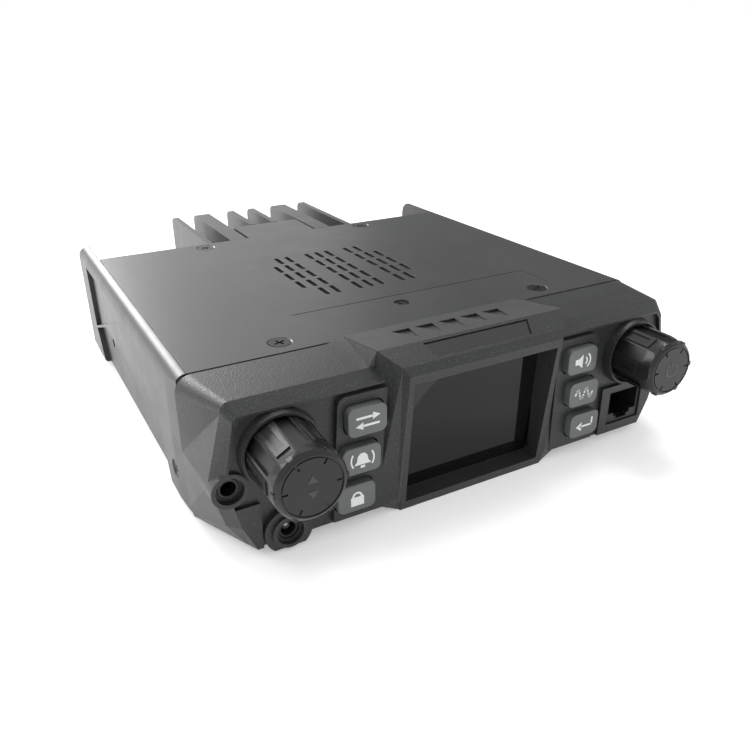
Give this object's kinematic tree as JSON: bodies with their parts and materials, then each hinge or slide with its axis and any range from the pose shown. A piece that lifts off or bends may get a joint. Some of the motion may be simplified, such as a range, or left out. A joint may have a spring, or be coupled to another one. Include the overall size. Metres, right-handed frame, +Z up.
{
  "type": "mobile radio transceiver",
  "caption": "Compact vehicle-mount radio transceiver: finned cast chassis, slotted cover, hooded display, two knobs, push keys and plug sockets.",
  "frame": {"origin": "middle of the bounding box in X and Y, at its lowest plane", "axes": "+X to the right seen from the front, +Y from the front panel back to the fins, +Z up"},
  "size_m": [0.14, 0.1904, 0.0442],
  "materials": {
    "cast_paint": "satin grey-black paint on an aluminium casting",
    "cover_paint": "fine satin grey-black paint on sheet",
    "black_steel": "blackened screw steel",
    "zinc_steel": "zinc plated",
    "panel_plastic": "fine grained moulding",
    "inlay_plastic": "smooth",
    "window_glass": "dark tinted clear plastic",
    "lcd_glass": "polariser film",
    "sheet_steel": "tinned sheet",
    "light_guide": "white diffuser",
    "board_laminate": "solder mask",
    "shaft_steel": "turned",
    "knob_plastic": "fine grained moulding",
    "black_plastic": "black moulding",
    "jack_metal": "nickel plated barrel",
    "contact_gold": "gold flashed",
    "ceramic_gold": "flange and ceramic cap",
    "copper_wire": "enamelled copper",
    "sleeve_plastic": "shrink sleeve",
    "flex_film": "amber film",
    "light_plastic": "ivory moulding",
    "foam": "closed cell foam",
    "cone_paper": "pressed cone",
    "magnet": "sintered",
    "fan_plastic": "black moulding",
    "nickel": "nickel plated",
    "white_plastic": "white insulator",
    "key_rubber": "grey translucent keys"
  },
  "bodies": {
    "body": {"chassis": "cast_paint", "top_cover": "cover_paint", "cover_screws": "black_steel", "cover_centre_screw": "black_steel", "side_screws": "black_steel", "front_panel": "panel_plastic", "hood_inlay": "inlay_plastic", "display_window": "window_glass", "lcd_glass": "lcd_glass", "lcd_frame": "sheet_steel", "backlight": "light_guide", "control_board": "board_laminate", "control_board_screws": "zinc_steel", "key_switches": "sheet_steel", "channel_encoder": "sheet_steel", "power_encoder": "sheet_steel", "data_jack": "black_plastic", "earphone_jack": "black_plastic", "mic_jack": "black_plastic", "mic_contacts": "contact_gold", "main_board": "board_laminate", "main_board_screws": "zinc_steel", "rf_shield": "sheet_steel", "output_transistors": "ceramic_gold", "filter_coils": "copper_wire", "capacitors": "sleeve_plastic", "panel_flex": "flex_film", "flex_sockets": "light_plastic", "speaker_gasket": "foam", "speaker_basket": "sheet_steel", "speaker_cone": "cone_paper", "speaker_magnet": "magnet", "speaker_clamps": "sheet_steel", "fan_frame": "black_plastic", "fan_screws": "zinc_steel", "aerial_body": "nickel", "aerial_insulator": "white_plastic", "aerial_contact": "contact_gold", "aerial_nut": "nickel", "power_inlet": "black_plastic", "power_blades": "contact_gold", "speaker_jack": "jack_metal"},
    "channel_dial": {"channel_knob": "knob_plastic", "channel_shaft": "shaft_steel"},
    "power_push": {"power_plunger": "black_plastic"},
    "volume_dial": {"power_knob": "knob_plastic", "power_shaft": "shaft_steel"},
    "fan_blades": {"fan_rotor": "fan_plastic"},
    "key_left_top": {"key_left_top": "key_rubber"},
    "key_left_middle": {"key_left_middle": "key_rubber"},
    "key_left_bottom": {"key_left_bottom": "key_rubber"},
    "key_right_top": {"key_right_top": "key_rubber"},
    "key_right_middle": {"key_right_middle": "key_rubber"},
    "key_right_bottom": {"key_right_bottom": "key_rubber"}
  },
  "joints": [
    {"name": "channel_turn", "type": "hinge", "parent": "body", "child": "channel_dial", "pos_m": [-0.053, -0.0768, 0.0272], "axis": [0, 1, 0], "continuous": true},
    {"name": "power_press", "type": "slide", "parent": "body", "child": "power_push", "axis": [0, 1, 0], "range_m": [0, 0.0006], "stiffness_N_per_m": 2500, "springref_m": -0.0006},
    {"name": "volume_turn", "type": "hinge", "parent": "power_push", "child": "volume_dial", "pos_m": [0.053, -0.0768, 0.0272], "axis": [0, 1, 0], "range_deg": [-150, 150]},
    {"name": "fan_spin", "type": "hinge", "parent": "body", "child": "fan_blades", "pos_m": [0, 0.0522, 0.0195], "axis": [0, 1, 0], "continuous": true},
    {"name": "key_left_top_press", "type": "slide", "parent": "body", "child": "key_left_top", "axis": [0, 1, 0], "range_m": [0, 0.0008], "stiffness_N_per_m": 1200, "springref_m": -0.0006},
    {"name": "key_left_middle_press", "type": "slide", "parent": "body", "child": "key_left_middle", "axis": [0, 1, 0], "range_m": [0, 0.0008], "stiffness_N_per_m": 1200, "springref_m": -0.0006},
    {"name": "key_left_bottom_press", "type": "slide", "parent": "body", "child": "key_left_bottom", "axis": [0, 1, 0], "range_m": [0, 0.0008], "stiffness_N_per_m": 1200, "springref_m": -0.0006},
    {"name": "key_right_top_press", "type": "slide", "parent": "body", "child": "key_right_top", "axis": [0, 1, 0], "range_m": [0, 0.0008], "stiffness_N_per_m": 1200, "springref_m": -0.0006},
    {"name": "key_right_middle_press", "type": "slide", "parent": "body", "child": "key_right_middle", "axis": [0, 1, 0], "range_m": [0, 0.0008], "stiffness_N_per_m": 1200, "springref_m": -0.0006},
    {"name": "key_right_bottom_press", "type": "slide", "parent": "body", "child": "key_right_bottom", "axis": [0, 1, 0], "range_m": [0, 0.0008], "stiffness_N_per_m": 1200, "springref_m": -0.0006}
  ]
}
